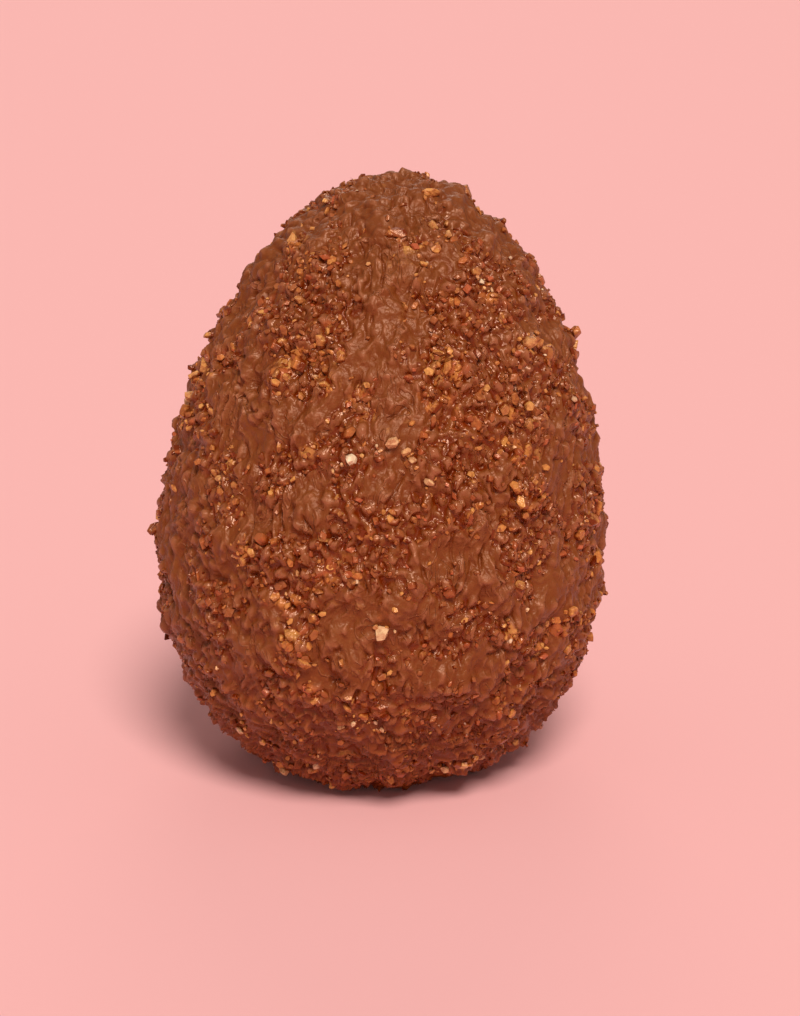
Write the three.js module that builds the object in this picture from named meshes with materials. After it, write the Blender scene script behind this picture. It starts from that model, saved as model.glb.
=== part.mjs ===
// A large chocolate egg coated with chopped nuts, standing on the flat spot of its broad end.
// One solid, in millimetres: +Z up, -Y is the front, and the narrow end leans slightly towards +X.
// The origin is on the standing surface, under the middle of the egg's outline.
import * as THREE from "three";
import { mergeVertices } from "three/addons/utils/BufferGeometryUtils.js";

// Driving dimensions of the bare egg
const halfLength = 104.3; // from the egg's middle to either end, along its own axis
const halfWidth = 72.7; // from the axis to the side, at the middle
const taper = 0.2; // share of the girth that the narrow end loses and the broad end gains
const endFullness = 0.042; // share of the girth that both ends keep beyond a plain oval
const leanAngle = THREE.MathUtils.degToRad(3.9); // of the egg's axis from the upright
const footDepth = 6.3; // how much of the broad end is flattened away to stand on

// Driving dimensions of its coating: clusters of nuts under chocolate, and single pieces of nut
const clusterCount = 420;
const clusterRadius = { least: 6.5, most: 13 };
const clusterHeight = { least: 0.4, most: 2 };
const pieceHeight = 0.9; // the most that one piece of nut lifts the surface, or a gap drops it
const bareHeel = { foot: 2, coated: 13 }; // heights between which the coating sets in

const meshDetail = 19; // parts, less one, that each edge of the first icosahedron is split into
const weldDistance = 1e-3;
const goldenAngle = Math.PI * (3 - Math.sqrt(5));
const strayTurn = 0.12; // radians that a cluster may lie off its even place
const clusterSeed = 11;
const pieceSeed = 29;

// Returns a function that gives the same sequence of numbers from 0 to 1 at every run.
function seededRandom(seed) {
  let state = seed >>> 0;
  return () => {
    state = (state + 0x6d2b79f5) >>> 0;
    let mixed = Math.imul(state ^ (state >>> 15), state | 1);
    mixed ^= mixed + Math.imul(mixed ^ (mixed >>> 7), mixed | 61);
    return ((mixed ^ (mixed >>> 14)) >>> 0) / 2 ** 32;
  };
}

function between(range, share) {
  return THREE.MathUtils.lerp(range.least, range.most, share);
}

// The bare egg's point in the direction of a point on the unit sphere, its axis still upright.
function shellPoint(direction) {
  const girth = halfWidth * (1 - taper * direction.z + endFullness * direction.z ** 2);
  return new THREE.Vector3(direction.x * girth, direction.y * girth, direction.z * halfLength);
}

function outwardFrom(direction) {
  const { x, y, z } = direction;
  return new THREE.Vector3(x / halfWidth, y / halfWidth, z / halfLength).normalize();
}

// Clusters of mixed sizes, spread evenly by turning the golden angle from each to the next.
function makeClusters() {
  const random = seededRandom(clusterSeed);
  return Array.from({ length: clusterCount }, (_, i) => {
    const height = 1 - (2 * i + 1) / clusterCount;
    const turn = i * goldenAngle + strayTurn * random();
    const direction = new THREE.Vector3().setFromCylindricalCoords(Math.sqrt(1 - height ** 2), turn, height);
    return {
      centre: shellPoint(new THREE.Vector3(direction.x, direction.z, direction.y)),
      radius: between(clusterRadius, random()),
      height: between(clusterHeight, random() ** 1.5),
    };
  });
}

// How thick the clusters lie over a point of the bare egg: as the highest dome that covers it.
function clusterThickness(point, clusters) {
  let thickness = 0;
  for (const { centre, radius, height } of clusters) {
    const share = point.distanceTo(centre) / radius;
    if (share < 1) thickness = Math.max(thickness, height * (1 - share ** 2) ** 1.5);
  }
  return thickness;
}

// A sphere of evenly sized triangles, whose vertices are shared.
function makeFineSphere() {
  const sphere = new THREE.IcosahedronGeometry(1, meshDetail);
  sphere.deleteAttribute("normal");
  sphere.deleteAttribute("uv");
  return mergeVertices(sphere, weldDistance);
}

// Draws the sphere out to the bare egg, and leans it.
function shapeShell(geometry) {
  const lean = new THREE.Matrix4().makeRotationY(leanAngle);
  const clusters = makeClusters();
  const random = seededRandom(pieceSeed);
  const positions = geometry.getAttribute("position");
  return Array.from({ length: positions.count }, (_, i) => {
    const direction = new THREE.Vector3().fromBufferAttribute(positions, i).normalize();
    const point = shellPoint(direction);
    const piece = pieceHeight * (2 * random() - 1);
    const coating = clusterThickness(point, clusters) + piece;
    return { point: point.applyMatrix4(lean), outward: outwardFrom(direction).applyMatrix4(lean), coating };
  });
}

// Presses the broad end flat, and lays the coating on everything above the bare heel.
function coatAndStand(geometry, shell) {
  const positions = geometry.getAttribute("position");
  const ground = Math.min(...shell.map(({ point }) => point.z)) + footDepth;
  shell.forEach(({ point, outward, coating }, i) => {
    const share = THREE.MathUtils.smoothstep(point.z - ground, bareHeel.foot, bareHeel.coated);
    point.addScaledVector(outward, coating * share);
    positions.setXYZ(i, point.x, point.y, Math.max(point.z - ground, 0));
  });
}

function makeEgg() {
  const geometry = makeFineSphere();
  coatAndStand(geometry, shapeShell(geometry));
  geometry.computeBoundingBox();
  const middle = geometry.boundingBox.getCenter(new THREE.Vector3());
  geometry.translate(-middle.x, -middle.y, 0);
  geometry.computeVertexNormals();
  const milkChocolate = new THREE.MeshStandardMaterial({ color: 0x8b4829, roughness: 0.45, metalness: 0 });
  const egg = new THREE.Mesh(geometry, milkChocolate);
  egg.name = "egg";
  return egg;
}

const coatedEgg = new THREE.Group();
coatedEgg.add(makeEgg());

export default coatedEgg;
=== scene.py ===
# A milk chocolate egg coated with chopped roasted nuts, standing in a small pale studio.
import math

import bmesh
import bpy
import numpy as np
from mathutils import Matrix, Vector, kdtree, noise


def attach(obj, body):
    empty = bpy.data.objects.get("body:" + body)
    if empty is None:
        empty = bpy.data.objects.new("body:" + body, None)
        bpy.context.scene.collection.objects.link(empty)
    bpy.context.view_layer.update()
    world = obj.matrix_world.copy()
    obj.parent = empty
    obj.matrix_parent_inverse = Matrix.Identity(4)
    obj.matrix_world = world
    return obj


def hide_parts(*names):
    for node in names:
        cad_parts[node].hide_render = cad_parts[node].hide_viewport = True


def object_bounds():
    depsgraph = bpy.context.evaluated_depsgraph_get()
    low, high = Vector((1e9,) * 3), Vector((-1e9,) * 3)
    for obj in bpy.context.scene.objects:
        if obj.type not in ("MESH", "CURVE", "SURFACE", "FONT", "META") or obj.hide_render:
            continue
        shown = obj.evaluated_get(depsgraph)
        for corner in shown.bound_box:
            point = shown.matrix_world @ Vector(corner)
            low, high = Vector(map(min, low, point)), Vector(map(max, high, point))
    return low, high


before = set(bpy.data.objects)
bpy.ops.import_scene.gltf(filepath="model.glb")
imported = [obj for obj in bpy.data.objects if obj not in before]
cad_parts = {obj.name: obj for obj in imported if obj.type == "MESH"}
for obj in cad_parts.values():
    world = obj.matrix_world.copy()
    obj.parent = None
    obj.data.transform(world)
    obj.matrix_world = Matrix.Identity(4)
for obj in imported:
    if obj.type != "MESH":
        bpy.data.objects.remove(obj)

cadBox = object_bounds()
mm = 0.001
scene = bpy.context.scene
randomness = np.random.default_rng(7)
noise.seed_set(7)    # without a seed, noise vectors follow the clock
print("frame loaded")


# Small helpers

def smoothStep(low, high, value):
    share = np.clip((value - low) / (high - low), 0, 1)
    return share * share * (3 - 2 * share)


def addObject(name, mesh):
    piece = bpy.data.objects.new(name, mesh)
    scene.collection.objects.link(piece)
    return piece


def fromBmesh(name, bm):
    mesh = bpy.data.meshes.new(name)
    bm.to_mesh(mesh)
    bm.free()
    return addObject(name, mesh)


def shade(mesh, smooth):
    mesh.polygons.foreach_set("use_smooth", [smooth] * len(mesh.polygons))


def readVectors(items, field):
    values = np.zeros(len(items) * 3)
    items.foreach_get(field, values)
    return values.reshape(-1, 3)


def storeValues(mesh, name, values):
    attribute = mesh.attributes.new(name, "FLOAT", "POINT")
    attribute.data.foreach_set("value", np.asarray(values, np.float32))


# Each pattern of noise is read at an offset of its own, so that no two of them agree.
noiseOffsets = dict(
    patchEdge=(5, 2, 9),
    wander=(3.1, 7.7, 1.3),
    wanderEdge=(9.4, 2.2, 5.8),
    foot=(2, 2, 7),
    crease=(6, 1, 3),
    lump=(7, 4, 1),
    swell=(2, 6, 4),
    amber=(4, 9, 2),
    amberEdge=(1, 5, 8),
    red=(8, 3, 6),
)


# The pattern's width is in mm
def noiseAt(places, width, pattern):
    offset = Vector(noiseOffsets[pattern])
    return np.array([noise.noise(Vector(place) / (width * mm) + offset) for place in places])


patchEdge = dict(
    raggedness=0.45,  # of the patch's half width
    width=7,          # mm, of the ragged pattern
    fade=(0.7, 1.2),  # of the patch's half width, between which it fades
)


# How far each place lies inside the patches. A patch is at an azimuth, which runs from the front, 0,
# to the right, 90, in degrees, and at a height in mm. Its reach is half its width and half its height.
def patchCover(places, patches):
    azimuth = np.arctan2(places[:, 0], -places[:, 1])
    girth = np.hypot(places[:, 0], places[:, 1]) / mm
    ragged = patchEdge["raggedness"] * noiseAt(places, patchEdge["width"], "patchEdge")
    cover = np.zeros(len(places))
    for patch in patches:
        patchAzimuth, patchHeight = patch["at"]
        halfWidth, halfHeight = patch["reach"]
        turn = (azimuth - math.radians(patchAzimuth) + math.pi) % (2 * math.pi) - math.pi
        along = turn * girth
        up = places[:, 2] / mm - patchHeight
        tilt = math.radians(patch.get("tilt", 0))
        across = (along * math.cos(tilt) + up * math.sin(tilt)) / halfWidth
        upright = (up * math.cos(tilt) - along * math.sin(tilt)) / halfHeight
        inside = 1 - smoothStep(*patchEdge["fade"], np.hypot(across, upright) + ragged)
        cover = np.maximum(cover, inside)
    return cover


# Where chocolate has run smooth over the nuts, and where the nuts lie thick

smoothPlaces = [
    dict(at=(-2, 160), reach=(8, 15), tilt=-8),
    dict(at=(5, 139), reach=(8, 11), tilt=20),
    dict(at=(-41, 132), reach=(14, 13)),
    dict(at=(-60, 100), reach=(12, 26), tilt=5),
    dict(at=(-29, 68), reach=(9, 11)),
    dict(at=(12, 54), reach=(13, 6), tilt=10),
    dict(at=(-8, 52), reach=(10, 5)),
    dict(at=(56, 118), reach=(9, 16), tilt=-10),
    dict(at=(22, 92), reach=(11, 11), tilt=25),
    dict(at=(3, 116), reach=(7, 7), tilt=30),
    dict(at=(10, 195), reach=(18, 8)),
    dict(at=(75, 180), reach=(12, 11)),
    dict(at=(-70, 175), reach=(11, 12)),
    dict(at=(-17, 110), reach=(7, 9)),
    dict(at=(62, 24), reach=(20, 9), tilt=-12),
]
nuttyPlaces = [
    dict(at=(33, 140), reach=(22, 26), tilt=15),
    dict(at=(-30, 162), reach=(16, 14)),
    dict(at=(-44, 108), reach=(9, 10)),
    dict(at=(-22, 88), reach=(18, 10)),
    dict(at=(40, 172), reach=(12, 9)),
    dict(at=(60, 92), reach=(12, 9)),
]
# Where the nuts are amber to golden; elsewhere they are mostly reddish brown
amberPlaces = [
    dict(at=(20, 150), reach=(9, 6), tilt=20),
    dict(at=(36, 124), reach=(12, 5)),
    dict(at=(16, 143), reach=(6, 7)),
    dict(at=(-31, 151), reach=(6, 8), tilt=20),
    dict(at=(-16, 149), reach=(7, 5)),
    dict(at=(-10, 86), reach=(9, 4), tilt=15),
    dict(at=(1, 77), reach=(6, 5)),
    dict(at=(-35, 92), reach=(4, 6)),
    dict(at=(51, 154), reach=(5, 4)),
    dict(at=(68, 94), reach=(8, 5)),
    dict(at=(15, 183), reach=(6, 6)),
    dict(at=(-57, 185), reach=(8, 4)),
    dict(at=(8, 167), reach=(6, 3)),
    dict(at=(48, 64), reach=(7, 12), tilt=-20),
    dict(at=(-77, 134), reach=(5, 11)),
    dict(at=(28, 14), reach=(10, 4)),
]


barenessLook = dict(
    wanderWidth=17,        # mm, of the smooth and the nutty places that wander over the egg
    edgeWidth=7,           # mm, of their ragged edges
    edgeShare=0.5,
    fade=(-0.1, 0.14),
    topGain=0.12,          # how much smoother the top is
    topHeight=(165, 200),  # mm
    smoothFill=0.97,       # how far the smooth places listed above are smooth
    nuttyFill=0.85,        # how far the nutty places are nutty
    footHeight=(30, 62),   # mm, below which the coat grows even
    footShare=0.36,
    footEvenness=0.6,
)


# How smooth the chocolate lies, from 0 among bare nuts to 1
def findBareness(places, look):
    heights = places[:, 2] / mm
    wander = noiseAt(places, look["wanderWidth"], "wander")
    wander = wander + look["edgeShare"] * noiseAt(places, look["edgeWidth"], "wanderEdge")
    wander += look["topGain"] * smoothStep(*look["topHeight"], heights)
    smoothed = look["smoothFill"] * patchCover(places, smoothPlaces)
    share = np.maximum(smoothStep(*look["fade"], wander), smoothed)
    share *= 1 - look["nuttyFill"] * patchCover(places, nuttyPlaces)
    foot = 1 - smoothStep(*look["footHeight"], heights)
    return share + foot * (look["footShare"] - share) * look["footEvenness"]


# Keeps things apart: a hash of cells that holds the place and reach of each thing laid so far

class Tray:
    cell = 4.5 * mm    # no two things are kept farther apart than this

    def __init__(self):
        self.laid = {}

    def cellOf(self, place):
        return tuple(int(math.floor(value / self.cell)) for value in place)

    def isFree(self, place, reach):
        column, row, layer = self.cellOf(place)
        for x in (column - 1, column, column + 1):
            for y in (row - 1, row, row + 1):
                for z in (layer - 1, layer, layer + 1):
                    for other, otherReach in self.laid.get((x, y, z), ()):
                        if math.dist(place, other) < reach + otherReach:
                            return False
        return True

    def lay(self, place, reach):
        self.laid.setdefault(self.cellOf(place), []).append((tuple(place), reach))


# Lays things at random, the largest first, so that small ones fill the gaps. Sizes are in mm.
def chooseSpots(places, chance, count, sizes, closeness, skew=1.6, tries=25):
    tray = Tray()
    luck = randomness.random(len(places))
    candidates = iter(randomness.permutation(np.flatnonzero(luck < chance)))
    wanted = (sizes[0] + (sizes[1] - sizes[0]) * randomness.random(count) ** skew) * mm
    chosen, chosenSizes = [], []
    for size in np.sort(wanted)[::-1]:
        reach = 0.5 * size * closeness
        for spot in [next(candidates, None) for _ in range(tries)]:
            if spot is not None and places[spot][2] > 0.5 * size and tray.isFree(places[spot], reach):
                tray.lay(places[spot], reach)
                chosen.append(spot)
                chosenSizes.append(size)
                break
    return np.array(chosen), np.array(chosenSizes)


# The chocolate coat: the egg's own form made finer, raised over chopped nuts that lie under it

coatLook = dict(
    levels=3,
    nutCount=15000,
    nutSizes=(1.4, 5.8),    # mm
    nutSkew=1.8,            # how much small nuts outnumber large ones
    nutCloseness=0.72,      # of two neighbouring nuts, where 1 is side by side
    nutHeight=(0.32, 0.6),  # of the nut's size
    nutLength=(1.0, 1.8),   # how many times longer than wide
    nutTilt=0.4,            # steepest slope of a nut's top
    nutReach=0.68,          # of the nut's size, how far from its middle it can end
    fillSteps=(1.5, 14),    # how far chocolate fills the gaps, among bare nuts and in smooth places
    fillBias=1.5,
    softenSteps=(0.8, 5),   # how far chocolate rounds the nuts off
    softenShare=0.6,        # of the way to the neighbours' mean in one step
    foldHeight=0.7,         # mm, of the soft folds in smooth chocolate
    foldWidth=5.0,          # mm, from one fold to the next
    foldLength=2.6,         # how many times longer than wide a fold is
    foldBend=1.3,           # how far the folds wander
    foldBendWidth=15,       # mm
    foldRoundness=0.6,
    foldMiddle=0.4,
    creaseDepth=1.5,        # mm
    creaseWidth=0.15,       # share of a fold's width
    creaseFade=(0.0, 0.3),
    creaseWander=9,         # mm, of the places that are creased
    creaseLeast=0.35,       # share of the depth among bare nuts
    strandHeight=0.55,      # mm, of the raised strands everywhere
    strandWidth=4.2,        # mm, from one strand to the next
    strandShare=0.2,        # of the way to the next strand that one strand's flank takes
    strandBend=2,           # times the folds' bend
    levelStretch=2,         # how far level strands are drawn out sideways
    levelSqueeze=1.6,       # and pressed together upwards
    lumpHeight=0.35,        # mm, of the small lumps in smooth chocolate
    lumpWidth=2.6,          # mm
    swellHeight=3.0,        # mm, of the broad swelling of the coat
    swellWidth=11.0,        # mm
    footHeight=(22, 60),    # mm, below which the strands turn level
    footWander=(25, 14),    # mm, how far that height wanders and over what width
    footCalm=0.15,          # how much lower the nuts stand at the foot
    footStrands=1.5,        # how much higher the strands stand there
    topHeight=(168, 192),   # mm, above which the coat turns calmer
    topCalm=0.45,
    crownSteps=10,          # how broad the stretch is that hollows and crowns are told from
    sink=0.8,               # mm, by which the nuts' bed lies inside the egg's outline
    restClear=2.5,          # mm above the ground, below which the coat is left as it is
)


def makeFineForm(look):
    bm = bmesh.new()
    bm.from_mesh(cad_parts["egg"].data)
    bmesh.ops.remove_doubles(bm, verts=bm.verts, dist=0.01 * mm)
    rough = fromBmesh("roughForm", bm)
    subdivision = rough.modifiers.new("finer", "SUBSURF")
    subdivision.levels = subdivision.render_levels = look["levels"]
    finished = rough.evaluated_get(bpy.context.evaluated_depsgraph_get())
    mesh = bpy.data.meshes.new_from_object(finished)
    bpy.data.objects.remove(rough)
    shade(mesh, True)
    return mesh


chipLook = dict(
    sides=5,
    sideTurn=1.0,           # radians, how unevenly the sides are spread
    sideReach=(0.8, 1.05),  # of half the nut's size, how far out a side stands
    sideSlope=2.4,
    cuts=2,
    cutReach=(0.2, 0.7),    # of half the nut's size
    cutHeight=0.95,         # of the nut's height
    cutSlope=(0.4, 0.9),
)


# Height in mm of one chopped nut above its bed, at offsets u and v in mm from its middle:
# a tilted top, cut corners and steep sides
def chipHeight(u, v, size, look):
    def reachTowards(angle, reach):
        return 0.5 * size * randomness.uniform(*reach) - (u * math.cos(angle) + v * math.sin(angle))

    stretch = math.sqrt(randomness.uniform(*look["nutLength"]))
    u, v = u / stretch, v * stretch
    top = size * randomness.uniform(*look["nutHeight"])
    slope = randomness.uniform(-1, 1, 2) * look["nutTilt"]
    height = top + slope[0] * u + slope[1] * v
    sides = chipLook["sides"]
    turns = np.arange(sides) * math.tau / sides + randomness.uniform(0, chipLook["sideTurn"], sides)
    for angle in turns:
        height = np.minimum(height, chipLook["sideSlope"] * reachTowards(angle, chipLook["sideReach"]))
    for angle in randomness.uniform(0, math.tau, chipLook["cuts"]):
        reach = reachTowards(angle, chipLook["cutReach"])
        slant = randomness.uniform(*chipLook["cutSlope"]) * reach
        height = np.minimum(height, top * chipLook["cutHeight"] + slant)
    return height


def raiseNuts(places, normals, look):
    spots, sizes = chooseSpots(places, np.ones(len(places)), look["nutCount"], look["nutSizes"],
                               look["nutCloseness"], look["nutSkew"])
    finder = kdtree.KDTree(len(places))
    for i, place in enumerate(places):
        finder.insert(place, i)
    finder.balance()
    raised = np.zeros(len(places))
    owner = np.full(len(places), -1)
    for nut, (spot, size) in enumerate(zip(spots, sizes)):
        near = np.array([found[1] for found in finder.find_range(places[spot], look["nutReach"] * size)])
        offset = (places[near] - places[spot]) / mm
        along = np.cross(normals[spot], randomness.normal(size=3))
        along /= np.linalg.norm(along)
        across = np.cross(normals[spot], along)
        height = chipHeight(offset @ along, offset @ across, size / mm, look)
        higher = height > raised[near]
        raised[near[higher]] = height[higher]
        owner[near[higher]] = nut
    print("nuts under the coat:", len(spots))
    return raised, owner, len(spots)


class Neighbours:
    def __init__(self, mesh):
        ends = np.zeros(len(mesh.edges) * 2, int)
        mesh.edges.foreach_get("vertices", ends)
        self.first, self.second = ends.reshape(-1, 2).T
        self.size = len(mesh.vertices)
        self.count = np.bincount(ends, minlength=self.size)

    def mean(self, values):
        total = np.bincount(self.first, values[self.second], self.size)
        return (total + np.bincount(self.second, values[self.first], self.size)) / self.count


# Lets chocolate run into the gaps and round the nuts off, further where the coat is smooth.
def runChocolate(raised, bare, neighbours, look):
    least, most = look["fillSteps"]
    fillUntil = least + (most - least) * bare ** look["fillBias"]
    for step in range(most):
        share = np.clip(fillUntil - step, 0, 1)
        raised = raised + share * np.maximum(neighbours.mean(raised) - raised, 0)
    least, most = look["softenSteps"]
    softenUntil = least + (most - least) * bare
    for step in range(most):
        share = np.clip(softenUntil - step, 0, 1)
        raised = raised + look["softenShare"] * share * (neighbours.mean(raised) - raised)
    return raised


# Folds and strands are 0 along their middles. They hang down the egg, and strands turn level at the foot.
def findFolds(places, foot, look):
    folds = np.zeros(len(places))
    strands = np.zeros(len(places))
    foldWidth = look["foldWidth"] * mm
    strandWidth = look["strandWidth"] * mm
    for i, place in enumerate(places):
        point = Vector(place)
        bend = noise.noise_vector(point / (look["foldBendWidth"] * mm)) * look["foldBend"]
        strandBend = bend * look["strandBend"]
        hanging = Vector((point.x, point.y, point.z / look["foldLength"]))
        folds[i] = abs(noise.noise(hanging / foldWidth + bend))
        strands[i] = abs(noise.noise(hanging / strandWidth + strandBend))
        if foot[i] > 0:
            stretch = look["levelStretch"]
            level = Vector((point.x / stretch, point.y / stretch, point.z * look["levelSqueeze"]))
            crossing = abs(noise.noise(level / strandWidth + strandBend))
            strands[i] += foot[i] * (crossing - strands[i])
    return folds, strands


def raiseFolds(raised, places, bare, look):
    heights = places[:, 2] / mm
    reach, width = look["footWander"]
    foot = 1 - smoothStep(*look["footHeight"], heights + reach * noiseAt(places, width, "foot"))
    calm = 1 - look["topCalm"] * smoothStep(*look["topHeight"], heights)
    folds, strands = findFolds(places, foot, look)
    raised = raised * (1 - look["footCalm"] * foot)
    raised += calm * bare * look["foldHeight"] * (folds ** look["foldRoundness"] - look["foldMiddle"])
    creased = smoothStep(*look["creaseFade"], noiseAt(places, look["creaseWander"], "crease"))
    creased *= look["creaseLeast"] + (1 - look["creaseLeast"]) * bare
    raised -= calm * look["creaseDepth"] * creased * (1 - smoothStep(0, look["creaseWidth"], folds))
    raised += look["lumpHeight"] * bare * noiseAt(places, look["lumpWidth"], "lump")
    ridge = 1 - smoothStep(0, look["strandShare"], strands)
    raised += calm * look["strandHeight"] * (1 + look["footStrands"] * foot) * ridge
    raised += look["swellHeight"] * noiseAt(places, look["swellWidth"], "swell")
    return raised


toneLook = dict(
    amberShare=0.7,
    amberWidth=16,           # mm
    edgeShare=0.5,
    edgeWidth=6,             # mm
    shift=-0.1,
    placesShare=0.7,         # how far the amber places listed above are amber
    shownBias=1.6,           # how few nuts under the coat show through it
    shownHeight=(0.2, 0.9),  # mm, above which a nut shows
    shownAmber=(-0.2, 0.4),  # how amber a place is where its nuts show
    hidden=0.75,             # how far smooth chocolate hides them
    ownTone=0.75,            # share of a nut's tone that is its own
    placeTone=0.35,          # and that follows the place
)


# How much of each nut shows through the chocolate, its tone, and how far each place stands above or below
# its surroundings, from which the coat paints shade in the hollows and highlights on the crowns
def toneCoat(mesh, places, nuts, owner, nutCount, bare, crown, look):
    amber = look["amberShare"] * noiseAt(places, look["amberWidth"], "amber")
    amber = amber + look["edgeShare"] * noiseAt(places, look["edgeWidth"], "amberEdge") + look["shift"]
    amber += look["placesShare"] * patchCover(places, amberPlaces)
    nutShown = np.append(randomness.random(nutCount) ** look["shownBias"], 0)
    nutTone = np.append(randomness.random(nutCount), 0)
    shown = nutShown[owner] * smoothStep(*look["shownHeight"], nuts)
    shown = shown * (1 - look["hidden"] * bare) * smoothStep(*look["shownAmber"], amber)
    tone = nutTone[owner] * look["ownTone"] + look["placeTone"] * amber
    storeValues(mesh, "shown", shown)
    storeValues(mesh, "tone", np.clip(tone, 0, 1))
    storeValues(mesh, "crown", crown)
    storeValues(mesh, "bare", bare)
    return amber


def shapeCoat(look):
    mesh = makeFineForm(look)
    places = readVectors(mesh.vertices, "co")
    normals = readVectors(mesh.vertices, "normal")
    neighbours = Neighbours(mesh)
    bare = findBareness(places, barenessLook)
    print("coat made finer:", len(mesh.polygons), "faces")
    nuts, owner, nutCount = raiseNuts(places, normals, look)
    raised = runChocolate(nuts, bare, neighbours, look)
    raised = raiseFolds(raised, places, bare, look)
    broad = raised
    for _ in range(look["crownSteps"]):
        broad = neighbours.mean(broad)
    crown = np.clip(raised - broad, -1, 1)
    raised = (raised - look["sink"]) * smoothStep(0, look["restClear"], places[:, 2] / mm)
    places += normals * raised[:, None] * mm
    places[:, 2] = np.maximum(places[:, 2], 0)
    mesh.vertices.foreach_set("co", places.ravel())
    mesh.update()
    amber = toneCoat(mesh, places, nuts, owner, nutCount, bare, crown, toneLook)
    return mesh, bare, amber


# The coat is kept as four quarters, each closed towards the egg's middle, so that no mesh is too heavy.
def cutQuarters(whole, material):
    normals = readVectors(whole.vertices, "normal")
    kept = whole.attributes.new("wholeNormal", "FLOAT_VECTOR", "POINT")
    kept.data.foreach_set("vector", normals.astype(np.float32).ravel())
    middle = (cadBox[0] + cadBox[1]) / 2
    centres = readVectors(whole.polygons, "center")
    azimuths = np.degrees(np.arctan2(centres[:, 0], -centres[:, 1]))
    quarterOf = ((azimuths + 45) // 90 % 4).astype(int)
    for number, name in enumerate(("coatFront", "coatRight", "coatBack", "coatLeft")):
        bm = bmesh.new()
        bm.from_mesh(whole)
        others = [face for face, quarter in zip(bm.faces, quarterOf) if quarter != number]
        bmesh.ops.delete(bm, geom=others, context="FACES")
        rim = [edge for edge in bm.edges if edge.is_boundary]
        inner = bmesh.ops.extrude_edge_only(bm, edges=rim)["geom"]
        innerVerts = [item for item in inner if isinstance(item, bmesh.types.BMVert)]
        bmesh.ops.pointmerge(bm, verts=innerVerts, merge_co=middle)
        quarter = fromBmesh(name, bm)
        mesh = quarter.data
        wanted = np.zeros(len(mesh.vertices) * 3, np.float32)
        mesh.attributes["wholeNormal"].data.foreach_get("vector", wanted)
        mesh.attributes.remove(mesh.attributes["wholeNormal"])
        mesh.normals_split_custom_set_from_vertices(wanted.reshape(-1, 3).tolist())
        mesh.materials.append(material)
        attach(quarter, "root")
        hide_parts("egg")
        print(name, sum(len(face.vertices) - 2 for face in mesh.polygons), "triangles")


# Materials: one finish is a material with its nodes, and every pattern reads Object coordinates

class Finish:
    def __init__(self, name):
        self.material = bpy.data.materials.new(name)
        self.material.use_nodes = True
        self.nodes = self.material.node_tree.nodes
        self.links = self.material.node_tree.links
        self.shader = self.nodes["Principled BSDF"]
        self.coordinates = self.nodes.new("ShaderNodeTexCoord").outputs["Object"]

    def fill(self, sockets, values):
        for socket, value in zip(sockets, values):
            if isinstance(value, bpy.types.NodeSocket):
                self.links.new(value, socket)
            else:
                socket.default_value = value

    def addNoise(self, scale, detail=3, roughness=0.55, warp=0, coordinates=None):
        node = self.nodes.new("ShaderNodeTexNoise")
        sockets = [node.inputs[name] for name in ("Vector", "Scale", "Detail", "Roughness", "Distortion")]
        self.fill(sockets, (coordinates or self.coordinates, scale, detail, roughness, warp))
        return node.outputs["Fac"]

    def addRamp(self, factor, stops):
        node = self.nodes.new("ShaderNodeValToRGB")
        ramp = node.color_ramp
        while len(ramp.elements) < len(stops):
            ramp.elements.new(0.5)
        for element, (position, colour) in zip(ramp.elements, stops):
            element.position = position
            element.color = (*colour, 1)
        self.links.new(factor, node.inputs["Fac"])
        return node.outputs["Color"]

    def addMix(self, factor, first, colour, blend="MIX"):
        node = self.nodes.new("ShaderNodeMix")
        node.data_type = "RGBA"
        node.blend_type = blend
        second = (*colour, 1) if isinstance(colour, tuple) else colour
        self.fill((node.inputs[0], node.inputs[6], node.inputs[7]), (factor, first, second))
        return node.outputs[2]

    def addMath(self, operation, *values):
        node = self.nodes.new("ShaderNodeMath")
        node.operation = operation
        self.fill(node.inputs, values)
        return node.outputs[0]

    def addRange(self, value, fade, toLow=0, toHigh=1):
        node = self.nodes.new("ShaderNodeMapRange")
        sockets = [node.inputs[name] for name in ("Value", "From Min", "From Max", "To Min", "To Max")]
        self.fill(sockets, (value, *fade, toLow, toHigh))
        return node.outputs["Result"]

    def addAttribute(self, name):
        node = self.nodes.new("ShaderNodeAttribute")
        node.attribute_name = name
        return node.outputs["Fac"]

    # The height is in mm
    def addBump(self, height):
        node = self.nodes.new("ShaderNodeBump")
        node.inputs["Distance"].default_value = mm
        self.links.new(height, node.inputs["Height"])
        self.links.new(node.outputs["Normal"], self.shader.inputs["Normal"])

    def setGloss(self):
        self.shader.inputs["Specular IOR Level"].default_value = gloss["specular"]
        self.shader.inputs["Specular Tint"].default_value = (*gloss["tint"], 1)


chocolateTones = dict(
    # the darkest tone is painted shade, for the hollows of the coat and the sunk feet of the nuts, partly
    # chocolate pooled there
    deepPoolShade=(0.160, 0.0200, 0.0004),
    dark=(0.165, 0.0350, 0.0030),
    middle=(0.192, 0.0480, 0.0070),
    light=(0.225, 0.0650, 0.0130),
    # the pale thin tone: thin chocolate over a pale nut, and the painted highlight on crowns and flow
    # lines
    thinFilmHighlight=(0.410, 0.1500, 0.0700),
    # the crust tone: thin chocolate on a nut's top, and the painted highlight there
    crustHighlight=(0.420, 0.1350, 0.0450),
)
nutTones = dict(
    skin=(0.270, 0.052, 0.013),
    rust=(0.400, 0.090, 0.026),
    amber=(0.570, 0.210, 0.042),
    gold=(0.730, 0.370, 0.100),
    cream=(0.880, 0.720, 0.470),
    rose=(0.520, 0.135, 0.060),
)
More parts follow.
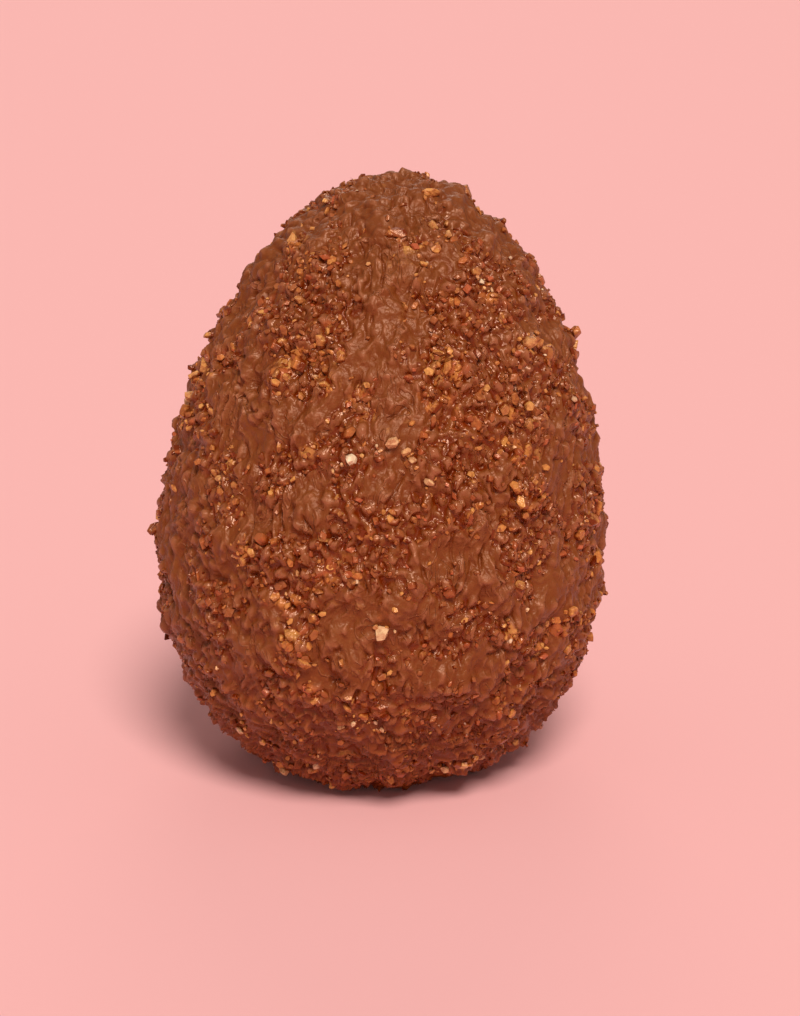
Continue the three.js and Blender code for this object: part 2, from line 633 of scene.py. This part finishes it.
# Scales of noise are in waves to the metre, and each fade is the span over which a thing comes in.
chocolateMix = dict(broadScale=55, fineScale=420, fineShare=0.6, stops=(0.3, 0.5, 0.7))
# painted shade and painted orange reflected light towards the foot: the height span of the fade and the
# multiplying tint
footShadeAndReflection = dict(fade=(62 * mm, 6 * mm), tint=(0.84, 0.51, 0.14))
gloss = dict(
    specular=0.62,
    tint=(1.0, 0.68, 0.5),
    nutty=0.27,   # roughness among nuts
    smooth=0.46,  # roughness of smooth chocolate
    nut=0.29,     # roughness of the loose nuts
    spread=0.08,  # how far it varies
    spreadScale=160,
    spreadFade=(0.35, 0.65),
)
lineLook = dict(
    width=11.0,  # mm, of the bundles of lines
    length=2.0,  # how far they are drawn out upwards
    rings=50,    # how many lines
    height=0.3,  # mm
    warp=1.0,
    fade=(0.55, 1.0),
    patchScale=120,
    patchFade=(0.48, 0.6),
    tint=0.3,    # how much lighter they are painted, a painted highlight along the lines
)
coatFinish = dict(
    tones=dict(skin=0.0, rust=0.3, amber=0.6, gold=0.9),
    breakScale=500,     # of the broken edges where a nut shows
    shownFade=(0.68, 1.15),
    shownMost=0.8,
    # painted shade in the hollows, partly chocolate pooled there
    pooledShadeFade=(0.0, -0.35),
    pooledShadeSmooth=0.35,  # how dark the painted shade in the hollows of smooth chocolate is, to that among nuts
    # painted highlight on the crowns, partly thin chocolate over the nuts
    thinFilmHighlightFade=(0.1, 0.6),
    thinFilmHighlightMost=0.52,
    grainScale=800,
    grainHeight=0.35,   # mm
)
nutFinish = dict(
    spotScale=900,          # of the darker spots
    spotFade=(0.4, 0.66),
    spotMost=0.75,
    paleFade=(0.4, 1.0),    # tones between which the spots grow faint
    paleSpots=0.15,
    smearScale=700,         # of the smears of chocolate
    filmShare=0.5,
    footSmear=0.8,
    shadedFootFade=(0.12, 0.5),   # how far a nut is sunk where chocolate covers its foot, in the darkest tone as painted shade
    litTopFade=(-0.1, -0.45),  # and where its top, standing out of the coat, is thinly covered and painted lighter as a painted highlight
    litTopMost=0.7,
    grainScale=900,
    grainHeight=0.33,       # mm
)


def chocolateColour(finish):
    broad = finish.addNoise(chocolateMix["broadScale"], 2)
    fine = finish.addNoise(chocolateMix["fineScale"])
    broad = finish.addMath("MULTIPLY", broad, 1 - chocolateMix["fineShare"])
    blended = finish.addMath("MULTIPLY_ADD", fine, chocolateMix["fineShare"], broad)
    tones = (chocolateTones[name] for name in ("dark", "middle", "light"))
    return finish.addRamp(blended, tuple(zip(chocolateMix["stops"], tones)))


# The tones are named from the darkest nut to the palest, each with its stop.
def nutColour(finish, tone, tones):
    return finish.addRamp(tone, [(stop, nutTones[name]) for name, stop in tones.items()])


# Painted shade and painted orange reflected light: the colour turns darker and more orange towards the
# foot.
def paintFootShadeAndReflection(finish, colour):
    split = finish.nodes.new("ShaderNodeSeparateXYZ")
    finish.links.new(finish.coordinates, split.inputs["Vector"])
    low = finish.addRange(split.outputs["Z"], footShadeAndReflection["fade"])
    return finish.addMix(low, colour, footShadeAndReflection["tint"], "MULTIPLY")


# Narrow raised lines where chocolate has run, like the grain in wood; the coat also paints them lighter
# as a painted highlight
def addFlowLines(finish, look):
    stretch = finish.nodes.new("ShaderNodeMapping")
    stretch.inputs["Scale"].default_value = (1, 1, 1 / look["length"])
    finish.links.new(finish.coordinates, stretch.inputs["Vector"])
    drawnOut = stretch.outputs["Vector"]
    wander = finish.addNoise(1 / (look["width"] * mm), 2, 0.5, look["warp"], drawnOut)
    waves = finish.addMath("SINE", finish.addMath("MULTIPLY", wander, look["rings"]))
    lines = finish.addRange(waves, look["fade"])
    here = finish.addRange(finish.addNoise(look["patchScale"], 2), look["patchFade"])
    return finish.addMath("MULTIPLY", lines, here)


def makeCoatMaterial(look):
    finish = Finish("milkChocolate")
    crown = finish.addAttribute("crown")
    bare = finish.addAttribute("bare")
    # Painted shade: the hollows, where the crown is low, take the darkest tone, partly as chocolate
    # pooled there, and less of it in smooth chocolate.
    smoothed = finish.addRange(bare, (0, 1), 1, look["pooledShadeSmooth"])
    pooledShade = finish.addMath("MULTIPLY", finish.addRange(crown, look["pooledShadeFade"]), smoothed)
    colour = finish.addMix(pooledShade, chocolateColour(finish), chocolateTones["deepPoolShade"])
    # Painted highlight: the crowns take the pale thin tone, partly as thin chocolate over the nuts.
    thinFilmHighlight = finish.addRange(crown, look["thinFilmHighlightFade"], 0, look["thinFilmHighlightMost"])
    colour = finish.addMix(thinFilmHighlight, colour, chocolateTones["thinFilmHighlight"])
    lines = addFlowLines(finish, lineLook)
    # Painted highlight: the raised flow lines are painted in the pale thin tone.
    lit = finish.addMath("MULTIPLY", lines, lineLook["tint"])
    colour = finish.addMix(lit, colour, chocolateTones["thinFilmHighlight"])
    # Painted shade and painted orange reflected light towards the foot.
    colour = paintFootShadeAndReflection(finish, colour)
    nut = nutColour(finish, finish.addAttribute("tone"), look["tones"])
    breaks = finish.addNoise(look["breakScale"], 4, 0.65)
    shown = finish.addMath("ADD", finish.addAttribute("shown"), breaks)
    shown = finish.addRange(shown, look["shownFade"], 0, look["shownMost"])
    finish.links.new(finish.addMix(shown, colour, nut), finish.shader.inputs["Base Color"])
    patchy = finish.addNoise(gloss["spreadScale"])
    spread = finish.addRange(patchy, gloss["spreadFade"], -gloss["spread"], gloss["spread"])
    evened = finish.addRange(bare, (0, 1), gloss["nutty"], gloss["smooth"])
    finish.links.new(finish.addMath("ADD", evened, spread), finish.shader.inputs["Roughness"])
    finish.setGloss()
    grain = finish.addMath("MULTIPLY", finish.addNoise(look["grainScale"], 1.5, 0.5), look["grainHeight"])
    finish.addBump(finish.addMath("MULTIPLY_ADD", lines, lineLook["height"], grain))
    return finish.material


# The film is the span over which smears of chocolate cover the nut.
def makeNut(name, tones, film, look):
    finish = Finish(name)
    tone = finish.addAttribute("tone")
    nut = nutColour(finish, tone, tones)
    spots = finish.addRange(finish.addNoise(look["spotScale"]), look["spotFade"], 0, look["spotMost"])
    darker = finish.addRange(tone, look["paleFade"], 1, look["paleSpots"])
    spots = finish.addMath("MULTIPLY", spots, darker)
    nut = finish.addMix(spots, nut, nutTones["rust"])
    smear = finish.addNoise(look["smearScale"], 3, 0.6)
    thickness = finish.addMath("MULTIPLY", finish.addAttribute("film"), look["filmShare"])
    cover = finish.addRange(finish.addMath("ADD", smear, thickness), film)
    # Painted shade: where a nut is sunk into the coat, chocolate covers its foot in the darkest tone.
    sunk = finish.addAttribute("sunk")
    foot = finish.addMath("MULTIPLY_ADD", smear, look["footSmear"], sunk)
    foot = finish.addRange(foot, look["shadedFootFade"])
    chocolate = finish.addMix(foot, chocolateColour(finish), chocolateTones["deepPoolShade"])
    # Painted highlight: the top that stands out of the coat takes the pale crust tone, partly as thin
    # chocolate.
    top = finish.addRange(sunk, look["litTopFade"], 0, look["litTopMost"])
    chocolate = finish.addMix(top, chocolate, chocolateTones["crustHighlight"])
    # Painted shade and painted orange reflected light towards the foot.
    chocolate = paintFootShadeAndReflection(finish, chocolate)
    cover = finish.addMath("MAXIMUM", cover, foot)
    finish.links.new(finish.addMix(cover, nut, chocolate), finish.shader.inputs["Base Color"])
    finish.shader.inputs["Roughness"].default_value = gloss["nut"]
    finish.setGloss()
    grain = finish.addNoise(look["grainScale"], 1.5, 0.5)
    finish.addBump(finish.addMath("MULTIPLY", grain, look["grainHeight"]))
    return finish.material


chocolate = makeCoatMaterial(coatFinish)
coatedNut = makeNut("coatedNut", dict(skin=0.0, rust=0.6, amber=1.0), (0.45, 0.7), nutFinish)
roastedNut = makeNut("roastedNut", dict(rust=0.0, amber=0.3, gold=0.85), (0.55, 0.9), nutFinish)
redSkin = makeNut("redSkin", dict(skin=0.0, rust=0.4, rose=1.0), (0.6, 0.9), nutFinish)
paleNut = makeNut("paleNut", dict(amber=0.0, gold=0.5, cream=1.0), (0.75, 1.1), nutFinish)
standoutNut = makeNut("standoutNut", dict(amber=0.0, gold=0.5, cream=1.0), (0.57, 0.88), nutFinish)
print("materials made")

wholeCoat, coatBare, coatAmber = shapeCoat(coatLook)
cutQuarters(wholeCoat, chocolate)

spotPlaces = readVectors(wholeCoat.vertices, "co")
spotNormals = readVectors(wholeCoat.vertices, "normal")
bpy.data.meshes.remove(wholeCoat)


# Chopped nuts: a few shapes for each kind, which are repeated at all sizes and angles

shapeLook = dict(
    topWidth=(0.6, 0.9),   # of the bottom's width
    depth=(0.6, 0.95),     # of the width
    cutReach=(0.26, 0.4),  # of the width, how far from the middle a cut lies
    skew=0.25,
    weld=0.06,             # of the width, below which corners become one
    bevelWeld=0.01,
)


# A nut one unit wide: a tapered prism with slanted cuts, slightly bevelled
def chipShape(seed, sides, cuts, bevel):
    pick = np.random.default_rng(seed)
    bm = bmesh.new()
    bmesh.ops.create_cone(bm, cap_ends=True, segments=sides, radius1=0.5,
                          radius2=0.5 * pick.uniform(*shapeLook["topWidth"]),
                          depth=pick.uniform(*shapeLook["depth"]))
    for _ in range(cuts):
        facing = Vector(pick.normal(size=3)).normalized()
        result = bmesh.ops.bisect_plane(bm, geom=bm.verts[:] + bm.edges[:] + bm.faces[:],
                                        plane_co=facing * pick.uniform(*shapeLook["cutReach"]),
                                        plane_no=facing, clear_outer=True)
        rim = [item for item in result["geom_cut"] if isinstance(item, bmesh.types.BMEdge)]
        bmesh.ops.edgeloop_fill(bm, edges=rim)
    skew = Matrix(np.eye(3) + pick.uniform(-shapeLook["skew"], shapeLook["skew"], (3, 3))).to_4x4()
    bmesh.ops.transform(bm, verts=bm.verts, matrix=skew)
    bmesh.ops.remove_doubles(bm, verts=bm.verts, dist=shapeLook["weld"])
    if bevel:
        bmesh.ops.bevel(bm, geom=bm.edges[:], offset=bevel, affect="EDGES", segments=1, profile=0.5,
                        material=-1)
    bmesh.ops.triangulate(bm, faces=bm.faces)
    bmesh.ops.remove_doubles(bm, verts=bm.verts, dist=shapeLook["bevelWeld"])
    bmesh.ops.recalc_face_normals(bm, faces=bm.faces)
    bm.verts.index_update()
    corners = np.array([vert.co for vert in bm.verts])
    corners -= corners.mean(axis=0)
    faces = np.array([[vert.index for vert in face.verts] for face in bm.faces])
    bm.free()
    return corners, faces


# Turns a piece's flat side towards the coat, then tips it by a random amount.
def seatedAxes(normal, tip):
    side = Vector(randomness.normal(size=3)).cross(Vector(normal)).normalized()
    up = Matrix.Rotation(math.radians(tip) * randomness.normal(), 3, side) @ Vector(normal)
    across = up.cross(Vector(randomness.normal(size=3))).normalized()
    return np.array([across, up.cross(across), up]).T


# Normals that follow the large faces, so that these stay flat and only the bevels look round
def broadNormals(corners, faces):
    first, second, third = corners[faces.T]
    facing = np.cross(second - first, third - first)
    total = np.zeros_like(corners)
    for column in faces.T:
        for axis in range(3):
            total[:, axis] += np.bincount(column, facing[:, axis], len(corners))
    return total / np.maximum(np.linalg.norm(total, axis=1), 1e-12)[:, None]


def meshFromArrays(name, corners, faces, shading):
    mesh = bpy.data.meshes.new(name)
    mesh.vertices.add(len(corners))
    mesh.vertices.foreach_set("co", corners.ravel())
    mesh.loops.add(faces.size)
    mesh.loops.foreach_set("vertex_index", faces.ravel())
    mesh.polygons.add(len(faces))
    mesh.polygons.foreach_set("loop_start", np.arange(0, faces.size, 3))
    shade(mesh, shading != "flat")
    mesh.update(calc_edges=True)
    if shading == "broad":
        mesh.normals_split_custom_set_from_vertices(broadNormals(corners, faces).tolist())
    return mesh


# Joins the pieces into one mesh. Each is a dictionary of its place, size, widths, axes, shape, lift,
# tone and film.
def joinPieces(name, pieces, material, shading):
    corners, faces, tones, films, sunk = [], [], [], [], []
    start = 0
    for piece in pieces:
        shapeCorners, shapeFaces = piece["shape"]
        count = len(shapeCorners)
        moved = shapeCorners @ (piece["axes"] * piece["widths"] * piece["size"]).T + piece["place"]
        moved[:, 2] = np.maximum(moved[:, 2], 0.05 * mm)
        corners.append(moved)
        faces.append(shapeFaces + start)
        start += count
        tones.append(np.full(count, piece["tone"]))
        films.append(np.full(count, piece["film"]))
        sunk.append(-shapeCorners[:, 2] - piece["lift"])
    mesh = meshFromArrays(name, np.concatenate(corners), np.concatenate(faces), shading)
    storeValues(mesh, "tone", np.concatenate(tones))
    storeValues(mesh, "film", np.concatenate(films))
    storeValues(mesh, "sunk", np.concatenate(sunk))
    mesh.materials.append(material)
    piece = addObject(name, mesh)
    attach(piece, "root")
    print(name, len(pieces), "pieces,", len(mesh.polygons), "faces")


chips = [chipShape(seed, 5, 1, 0.05) for seed in range(14)]
wedges = [chipShape(seed, 4, 1, 0.05) for seed in range(30, 42)]
blocks = [chipShape(seed, 4, 0, 0.08) for seed in range(50, 62)]
crumbs = [chipShape(seed, 4, 1, 0) for seed in range(70, 84)]
bigChips = [chipShape(seed, 6, 5, 0.03) for seed in range(90, 102)]

# Sizes are in mm, the tip is in degrees, and the lift is a share of the size.
pieceLooks = dict(
    paleNuts=dict(count=110, sizes=(1.2, 2.8), closeness=1.0, flatness=(0.5, 0.9), tip=30,
                  lift=(-0.1, 0.2), shapes=chips, shading="broad"),
    roastedNuts=dict(count=1500, sizes=(1.6, 4.2), closeness=1.0, flatness=(0.5, 0.9), tip=25,
                     lift=(-0.25, 0.1), shapes=chips, shading="broad"),
    redSkins=dict(count=1000, sizes=(1.6, 4.0), closeness=1.0, flatness=(0.4, 0.8), tip=25,
                  lift=(-0.25, 0.1), shapes=wedges, shading="broad"),
    coatedNuts=dict(count=2200, sizes=(1.6, 4.2), closeness=1.0, flatness=(0.5, 0.9), tip=25,
                    lift=(-0.35, 0.0), shapes=blocks, shading="round"),
    crumbs=dict(count=4500, sizes=(0.8, 1.8), closeness=0.8, flatness=(0.6, 1.0), tip=40,
                lift=(-0.25, 0.1), shapes=crumbs, shading="flat"),
)
nutWidths = dict(length=(0.95, 1.4), width=(0.7, 1.0))


def scatterPieces(name, chance, material):
    look = pieceLooks[name]
    spots, sizes = chooseSpots(spotPlaces, chance, look["count"], look["sizes"], look["closeness"],
                               tries=12)
    pieces = []
    for spot, size in zip(spots, sizes):
        lift = randomness.uniform(*look["lift"])
        spans = nutWidths["length"], nutWidths["width"], look["flatness"]
        pieces.append(dict(
            widths=np.array([randomness.uniform(*span) for span in spans]),
            shape=look["shapes"][randomness.integers(len(look["shapes"]))],
            place=spotPlaces[spot] + spotNormals[spot] * size * lift,
            axes=seatedAxes(spotNormals[spot], look["tip"]),
            size=size,
            lift=lift,
            tone=randomness.random(),
            film=randomness.random(),
        ))
    joinPieces(name, pieces, material, look["shading"])


# Where the loose nuts lie: a chance from 0 to 1 for each place on the coat
spreadLook = dict(
    footHeight=(30, 62),  # mm
    footShare=0.35,       # of the nuts that are left below it
    bareBias=1.3,
    amberGain=3,
    amberShift=-0.1,
    amberLeast=0.03,
    redWidth=11,          # mm
    redGain=3,
    redShift=0.2,
    redLeast=0.04,
    paleShare=0.2,
    paleLeast=0.01,
)


def findSpread(look):
    heights = spotPlaces[:, 2] / mm
    aboveFoot = look["footShare"] + (1 - look["footShare"]) * smoothStep(*look["footHeight"], heights)
    nutty = (1 - coatBare) ** look["bareBias"] * aboveFoot
    isAmber = np.clip(coatAmber * look["amberGain"] + look["amberShift"], look["amberLeast"], 1)
    red = noiseAt(spotPlaces, look["redWidth"], "red")
    isRed = np.clip(red * look["redGain"] + look["redShift"], look["redLeast"], 1)
    pale = look["paleLeast"] + look["paleShare"] * nutty * isAmber
    return nutty, nutty * isAmber, nutty * isRed, pale


nuttyChance, amberChance, redChance, paleChance = findSpread(spreadLook)
scatterPieces("paleNuts", paleChance, paleNut)
scatterPieces("roastedNuts", amberChance, roastedNut)
scatterPieces("redSkins", redChance, redSkin)
scatterPieces("coatedNuts", nuttyChance, coatedNut)
scatterPieces("crumbs", nuttyChance, coatedNut)


# The nuts that stand out, each at its azimuth and height, with its size in mm, its length as a multiple
# of the width, its lift as a share of the size, and its tone from amber, 0, over gold, 0.5, to cream, 1

standoutNuts = [
    dict(at=(-8, 124), size=4.2, lift=0.55, tone=1.1),
    dict(at=(4, 129), size=4.2, length=1.6, lift=0.4, tone=0.7),
    dict(at=(7, 126), size=3.4, length=1.8, lift=0.35, tone=0.66),
    dict(at=(9, 123), size=2.8, length=1.4, tone=0.6),
    dict(at=(13, 117), size=2.8, length=1.5, tone=0.65),
    dict(at=(1, 70), size=4.6, length=1.0, lift=0.4, tone=0.85),
    dict(at=(-18, 59), size=5.2, length=1.0, lift=0.4, tone=0.4),
    dict(at=(-23, 59), size=4.0, length=1.1, lift=0.0, tone=0.1),
    dict(at=(-16, 73), size=3.6, length=1.3, lift=0.15, tone=0.25),
    dict(at=(-12, 153), size=5.4, length=1.0, lift=0.35, tone=0.35),
    dict(at=(-19, 158), size=4.4, tone=0.45),
    dict(at=(-33, 168), size=4.2, length=1.3, tone=0.35),
    dict(at=(-60, 184), size=4.6, length=1.9, lift=0.25, tone=0.5),
    dict(at=(-52, 185), size=3.4, length=1.3, lift=0.2, tone=0.3),
    dict(at=(10, 168), size=3.6, length=1.5, lift=0.15, tone=0.35),
    dict(at=(14, 168), size=3.0, length=1.4, lift=0.15, tone=0.15),
    dict(at=(19, 180), size=3.2, lift=0.25, tone=0.5),
    dict(at=(26, 184), size=3.4, length=1.3, lift=0.2, tone=0.5),
    dict(at=(33, 190), size=3.6, length=1.4, lift=0.35, tone=0.5),
    dict(at=(37, 188), size=2.8, tone=0.6),
    dict(at=(49, 199), size=3.8, length=1.9, lift=0.4, tone=0.5),
    dict(at=(10, 189), size=4.4, length=1.8, tone=0.2),
    dict(at=(-23, 180), size=3.8, tone=0.2),
    dict(at=(-43, 179), size=3.6, length=1.3, tone=0.25),
    dict(at=(-38, 176), size=3.0, lift=0.25, tone=0.35),
    dict(at=(50, 155), size=4.4, lift=0.4, tone=0.6),
    dict(at=(54, 154), size=3.2, length=1.1, lift=0.25, tone=0.4),
    dict(at=(42, 174), size=2.4, tone=0.9),
    dict(at=(45, 171), size=1.8, length=1.3, tone=0.9),
    dict(at=(39, 176), size=2.0, length=1.1, tone=0.7),
    dict(at=(25, 108), size=4.6, length=1.1, tone=0.25),
    dict(at=(64, 95), size=4.6, tone=0.45),
    dict(at=(69, 93), size=4.0, tone=0.35),
    dict(at=(74, 95), size=3.6, length=1.1, tone=0.5),
    dict(at=(-35, 93), size=3.4, lift=0.2, tone=0.5),
    dict(at=(-37, 90), size=3.0, length=1.4, lift=0.2, tone=0.6),
    dict(at=(-34, 97), size=2.6, lift=0.2, tone=0.4),
    dict(at=(-47, 112), size=3.0, length=1.6, lift=0.25, tone=0.7),
    dict(at=(-50, 113), size=3.0, length=1.5, lift=0.2, tone=0.4),
    dict(at=(-76, 142), size=5.5, length=1.3, lift=0.4, tone=0.6),
    dict(at=(-79, 138), size=4.5, lift=0.4, tone=0.55),
    dict(at=(-73, 133), size=5.2, lift=0.4, tone=0.5),
    dict(at=(-77, 130), size=5.5, length=1.3, lift=0.45, tone=0.65),
    dict(at=(-71, 128), size=5.2, length=1.1, lift=0.35, tone=0.25),
    dict(at=(-80, 126), size=4.8, lift=0.45, tone=0.7),
    dict(at=(-68, 124), size=3.0, length=1.4, tone=0.45),
    dict(at=(100, 196), size=5.4, length=1.1, lift=0.6, tone=0.35),
    dict(at=(80, 192), size=4.0, tone=0.3),
    dict(at=(82, 152), size=4.4, lift=0.5, tone=0.1),
    dict(at=(83, 46), size=4.0, lift=0.5, tone=0.2),
    dict(at=(62, 33), size=3.0, tone=0.7),
    dict(at=(60, 30), size=2.6, length=1.1, tone=0.65),
    dict(at=(45, 27), size=3.0, tone=0.4),
    dict(at=(50, 23), size=2.8, length=1.5, tone=0.3),
    dict(at=(47, 20), size=2.2, length=1.1, tone=0.7),
    dict(at=(42, 14), size=3.0, length=1.3, tone=0.8),
    dict(at=(29, 15), size=3.4, length=1.5, tone=0.6),
    dict(at=(33, 17), size=2.8, lift=0.35, tone=0.5),
    dict(at=(36, 20), size=2.6, length=1.4, tone=0.35),
    dict(at=(40, 34), size=3.0, tone=0.3),
    dict(at=(52, 42), size=3.2, length=1.3, tone=0.35),
    dict(at=(57, 52), size=3.4, lift=0.35, tone=0.45),
    dict(at=(55, 66), size=3.6, tone=0.35),
    dict(at=(-12, 12), size=3.0, length=1.3, tone=0.25),
    dict(at=(4, 10), size=3.2, tone=0.2),
    dict(at=(12, 14), size=2.8, length=1.4, tone=0.3),
    dict(at=(-33, 18), size=3.2, tone=0.3),
    dict(at=(25, 13), size=3.0, lift=0.35, tone=0.75),
    dict(at=(21, 11), size=2.6, length=1.3, lift=0.35, tone=0.7),
    dict(at=(-47, 25), size=3.4, length=1.4, lift=0.4, tone=0.7),
    dict(at=(-42, 8), size=3.6, length=1.3, lift=0.5, tone=0.75),
    dict(at=(-27, 11), size=4.2, length=1.1, tone=0.3),
    dict(at=(-21, 4), size=3.0, length=1.3, lift=0.4, tone=0.4),
    dict(at=(-4, 38), size=1.8, length=1.5, tone=0.8),
    dict(at=(-7, 37), size=1.6, length=1.3, tone=0.7),
    dict(at=(-10, 35), size=2.2, length=1.4, lift=0.25, tone=0.7),
    dict(at=(-1, 36), size=1.6, tone=0.8),
    dict(at=(1, 34), size=1.8, tone=0.7),
]


standoutLook = dict(
    usual=dict(length=1.2, lift=0.3),  # of a nut that names neither
    companions=3,                      # smaller bits beside each nut
    companionSizes=(0.3, 0.55),        # of the nut's size, as is the reach
    companionReach=0.75,
    companionTone=0.65,                # of the nut's tone
    tip=20,
    flatness=(0.65, 0.9),
    fullness=1.1,
    liftShare=0.8,
    sink=0.15,
    toneSpread=(-0.2, 0.1),
    filmMost=1.1,
)


def layStandoutNuts(nuts, look):
    azimuths = np.degrees(np.arctan2(spotPlaces[:, 0], -spotPlaces[:, 1]))
    girths = np.hypot(spotPlaces[:, 0], spotPlaces[:, 1]) / mm
    pieces = []
    for nut in nuts:
        nut = {**look["usual"], **nut}
        azimuth, height = nut["at"]
        along = np.radians((azimuths - azimuth + 180) % 360 - 180) * girths
        up = spotPlaces[:, 2] / mm - height
        stretch = math.sqrt(nut["length"])
        lift = nut["lift"] * look["liftShare"] - look["sink"]
        for number in range(look["companions"] + 1):
            size, away, tone = nut["size"], (0, 0), nut["tone"]
            if number > 0:
                size *= randomness.uniform(*look["companionSizes"])
                away = randomness.normal(0, look["companionReach"] * nut["size"], 2)
                tone *= look["companionTone"]
            spot = np.argmin(np.hypot(along - away[0], up - away[1]))
            pieces.append(dict(
                shape=bigChips[randomness.integers(len(bigChips))],
                place=spotPlaces[spot] + spotNormals[spot] * size * mm * lift,
                axes=seatedAxes(spotNormals[spot], look["tip"]),
                widths=look["fullness"] * np.array(
                    (stretch, 1 / stretch, randomness.uniform(*look["flatness"]))),
                size=size * mm,
                lift=lift,
                tone=max(tone + randomness.uniform(*look["toneSpread"]), 0),
                film=randomness.uniform(0, look["filmMost"]) * max(1 - nut["tone"], 0),
            ))
    joinPieces("standoutNuts", pieces, standoutNut, "broad")


layStandoutNuts(standoutNuts, standoutLook)


# The studio: a pale floor, soft light and the camera

studioLook = dict(
    floorHalf=14.0,  # metres
    floorColour=(0.915, 0.515, 0.515),
    floorRoughness=0.9,
    floorGloss=0.1,
    worldColour=(1.0, 0.85, 0.80),
    worldStrength=0.27,
    lights=(
        dict(name="windowLight", azimuth=12, elevation=52, softness=22, strength=2.88,
             colour=(1.0, 0.87, 0.81)),
        dict(name="lowLight", azimuth=-5, elevation=14, softness=25, strength=0.18,
             colour=(1.0, 0.85, 0.78)),
        dict(name="backLight", azimuth=180, elevation=35, softness=30, strength=0.35,
             colour=(1.0, 0.8, 0.7)),
    ),
)
cameraLook = dict(place=(6.7 * mm, -685 * mm, 277 * mm), pitch=15.3, lens=72.99)


def makeFloor(look):
    bm = bmesh.new()
    bmesh.ops.create_grid(bm, x_segments=1, y_segments=1, size=look["floorHalf"])
    floor = fromBmesh("floor", bm)
    paper = Finish("floorPaper")
    paper.shader.inputs["Base Color"].default_value = (*look["floorColour"], 1)
    paper.shader.inputs["Roughness"].default_value = look["floorRoughness"]
    paper.shader.inputs["Specular IOR Level"].default_value = look["floorGloss"]
    floor.data.materials.append(paper.material)


def makeLight(look):
    scene.world = bpy.data.worlds.new("studio")
    scene.world.use_nodes = True
    background = scene.world.node_tree.nodes["Background"]
    background.inputs["Color"].default_value = (*look["worldColour"], 1)
    background.inputs["Strength"].default_value = look["worldStrength"]
    for light in look["lights"]:
        data = bpy.data.lights.new(light["name"], "SUN")
        data.angle = math.radians(light["softness"])
        data.energy = light["strength"]
        data.color = light["colour"]
        lamp = bpy.data.objects.new(light["name"], data)
        scene.collection.objects.link(lamp)
        elevation = math.radians(light["elevation"])
        lamp.rotation_euler = (math.pi / 2 - elevation, 0, math.radians(light["azimuth"]))


def makeCamera(look):
    data = bpy.data.cameras.new("camera")
    data.lens = look["lens"]
    camera = bpy.data.objects.new("camera", data)
    scene.collection.objects.link(camera)
    camera.location = look["place"]
    camera.rotation_euler = (math.radians(90 - look["pitch"]), 0, 0)
    scene.camera = camera


makeFloor(studioLook)
makeLight(studioLook)
makeCamera(cameraLook)
scene.view_settings.view_transform = "Standard"
print("studio set")
